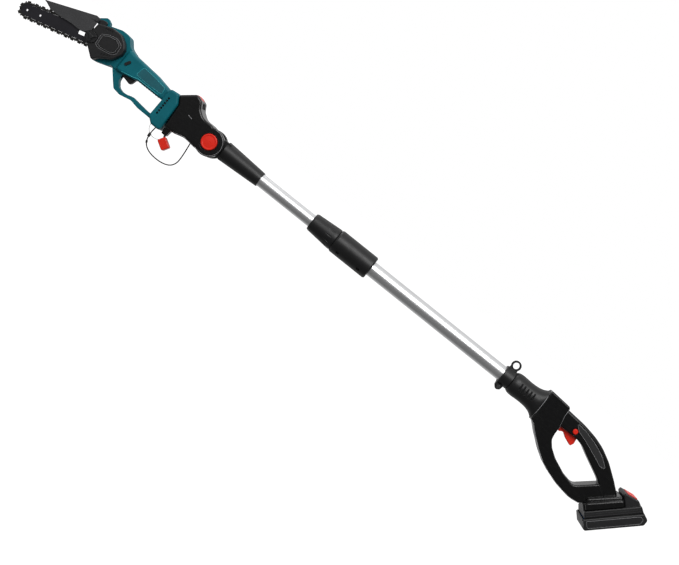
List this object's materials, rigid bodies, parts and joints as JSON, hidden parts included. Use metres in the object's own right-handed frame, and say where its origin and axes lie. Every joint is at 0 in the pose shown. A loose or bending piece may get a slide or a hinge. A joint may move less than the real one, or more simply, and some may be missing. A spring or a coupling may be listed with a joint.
{
  "type": "telescoping pole saw",
  "caption": "Battery pole saw: a mini chainsaw on a tilting adapter, a two-stage twist-lock pole and a D-shaped rear handle with a slide-on battery pack.",
  "frame": {"origin": "centre of the strap eyelet's hole", "axes": "+X along the pole towards the saw, +Z to the tool's top, +Y to its left, the chain cover's side"},
  "size_m": [1.4319, 0.072, 0.1787],
  "materials": {
    "aluminium": "bright drawn tube",
    "matte_black": "fine spark texture",
    "satin_black": "satin moulded",
    "soft_grip": "matte soft overmould",
    "charcoal": "textured moulded",
    "teal": "fine textured moulded",
    "red": "smooth moulded",
    "bar_steel": "black coated",
    "chain_steel": "oiled",
    "machined_steel": "machined",
    "screw_steel": "black zinc",
    "spring_steel": "drawn",
    "inner_plastic": "moulded",
    "cell_wrap": "shrink wrap",
    "board": "circuit board",
    "cord": "woven"
  },
  "bodies": {
    "rear_handle": {"outer_tube": "aluminium", "handle_shell_left": "satin_black", "handle_shell_right": "satin_black", "neck_sleeve": "matte_black", "grip_pads": "soft_grip", "handle_screws": "screw_steel", "rear_trigger_pin": "machined_steel", "rear_switch": "inner_plastic", "terminal_block": "inner_plastic", "strap_ring": "matte_black", "strap_ring_screw": "screw_steel", "lock_collar": "matte_black", "guide_bush": "inner_plastic", "clamp_collet": "inner_plastic"},
    "battery": {"battery_case_lower": "charcoal", "battery_case_upper": "charcoal", "battery_cells": "cell_wrap", "battery_board": "board", "battery_screws": "screw_steel"},
    "battery_button": {"battery_release_button": "red"},
    "rear_trigger": {"rear_trigger": "red"},
    "rear_lock": {"rear_lock_button": "red"},
    "lock_nut": {"lock_nut": "matte_black"},
    "inner_pole": {"inner_tube": "aluminium", "tube_stop_plug": "inner_plastic", "head_sleeve": "matte_black", "sleeve_screws": "screw_steel"},
    "saw_head": {"adapter_shell_left": "satin_black", "adapter_shell_right": "satin_black", "adapter_screws": "screw_steel", "adapter_connector": "inner_plastic", "pivot_axle": "machined_steel", "pivot_springs": "spring_steel", "saw_shell_left": "teal", "saw_shell_right": "teal", "saw_screws": "screw_steel", "saw_trigger_pin": "machined_steel", "saw_switch": "inner_plastic", "motor": "machined_steel", "shaft_bearings": "machined_steel", "guide_bar": "bar_steel", "saw_chain": "chain_steel", "chain_cover": "charcoal", "bar_stud": "machined_steel", "chip_guard_pin": "screw_steel", "lanyard_cord": "cord", "lanyard_ferrules": "matte_black", "lanyard_wire": "spring_steel", "trigger_clip": "red"},
    "pivot_button_left": {"pivot_button_left": "red"},
    "pivot_button_right": {"pivot_button_right": "red"},
    "adapter_button": {"adapter_release_button": "red"},
    "saw_trigger": {"saw_trigger": "matte_black"},
    "saw_lock": {"saw_lock_button": "matte_black"},
    "chip_guard": {"chip_guard": "charcoal"},
    "drive_shaft": {"output_gear": "machined_steel", "drive_sprocket": "machined_steel"},
    "motor_shaft": {"motor_pinion": "machined_steel"},
    "nose_wheel": {"nose_sprocket": "machined_steel"},
    "cover_knob": {"cover_knob": "charcoal"}
  },
  "joints": [
    {"name": "battery_slide", "type": "slide", "parent": "rear_handle", "child": "battery", "axis": [-0.723, 0, 0.6909], "range_m": [0, 0.075]},
    {"name": "battery_release", "type": "slide", "parent": "battery", "child": "battery_button", "axis": [-0.1445, 0, -0.9895], "range_m": [0, 0.002], "stiffness_N_per_m": 300, "springref_m": -0.006},
    {"name": "rear_trigger_squeeze", "type": "hinge", "parent": "rear_handle", "child": "rear_trigger", "pos_m": [-0.1322, 0, -0.0288], "axis": [0, 1, 0], "range_deg": [0, 9], "stiffness_Nm_per_rad": 0.15, "springref_deg": -22.92},
    {"name": "rear_lock_press", "type": "slide", "parent": "rear_handle", "child": "rear_lock", "axis": [0, -1, 0], "range_m": [0, 0.0025], "stiffness_N_per_m": 300, "springref_m": -0.006},
    {"name": "lock_nut_twist", "type": "hinge", "parent": "rear_handle", "child": "lock_nut", "pos_m": [0.391, 0, -0.0264], "axis": [1, 0, 0], "range_deg": [0, 90]},
    {"name": "pole_telescope", "type": "slide", "parent": "rear_handle", "child": "inner_pole", "axis": [1, 0, 0], "range_m": [-0.113, 0.187]},
    {"name": "head_tilt", "type": "hinge", "parent": "inner_pole", "child": "saw_head", "pos_m": [0.6726, 0, -0.0299], "axis": [0, 1, 0], "range_deg": [-50, 60]},
    {"name": "pivot_press_left", "type": "slide", "parent": "saw_head", "child": "pivot_button_left", "axis": [0, -1, 0], "range_m": [0, 0.0028], "stiffness_N_per_m": 300, "springref_m": -0.006},
    {"name": "pivot_press_right", "type": "slide", "parent": "saw_head", "child": "pivot_button_right", "axis": [0, 1, 0], "range_m": [0, 0.0028], "stiffness_N_per_m": 300, "springref_m": -0.006},
    {"name": "adapter_release", "type": "slide", "parent": "saw_head", "child": "adapter_button", "axis": [0, 0, -1], "range_m": [0, 0.002], "stiffness_N_per_m": 300, "springref_m": -0.006},
    {"name": "saw_trigger_squeeze", "type": "hinge", "parent": "saw_head", "child": "saw_trigger", "pos_m": [0.876, 0, -0.0254], "axis": [0, 1, 0], "range_deg": [0, 8], "stiffness_Nm_per_rad": 0.15, "springref_deg": -22.92},
    {"name": "saw_lock_press", "type": "slide", "parent": "saw_head", "child": "saw_lock", "axis": [0, -1, 0], "range_m": [0, 0.0018], "stiffness_N_per_m": 300, "springref_m": -0.006},
    {"name": "chip_guard_swing", "type": "hinge", "parent": "saw_head", "child": "chip_guard", "pos_m": [0.9634, 0, 0.0151], "axis": [0, 1, 0], "range_deg": [-50, 0], "stiffness_Nm_per_rad": 0.01, "springref_deg": 28.65},
    {"name": "shaft_spin", "type": "hinge", "parent": "saw_head", "child": "drive_shaft", "pos_m": [0.91594, 0, -0.00526], "axis": [0, 1, 0], "continuous": true},
    {"name": "motor_spin", "type": "hinge", "parent": "saw_head", "child": "motor_shaft", "pos_m": [0.89412, 0, -0.01524], "axis": [0, 1, 0], "continuous": true},
    {"name": "nose_spin", "type": "hinge", "parent": "saw_head", "child": "nose_wheel", "pos_m": [1.07248, 0, -0.04926], "axis": [0, 1, 0], "continuous": true},
    {"name": "cover_knob_turn", "type": "hinge", "parent": "saw_head", "child": "cover_knob", "pos_m": [0.9506, 0, -0.015], "axis": [0, 1, 0], "range_deg": [-180, 0]}
  ],
  "couplings": [
    {"joint": "motor_spin", "follows": "shaft_spin", "ratio": -3},
    {"joint": "nose_spin", "follows": "shaft_spin", "ratio": 0.875}
  ]
}
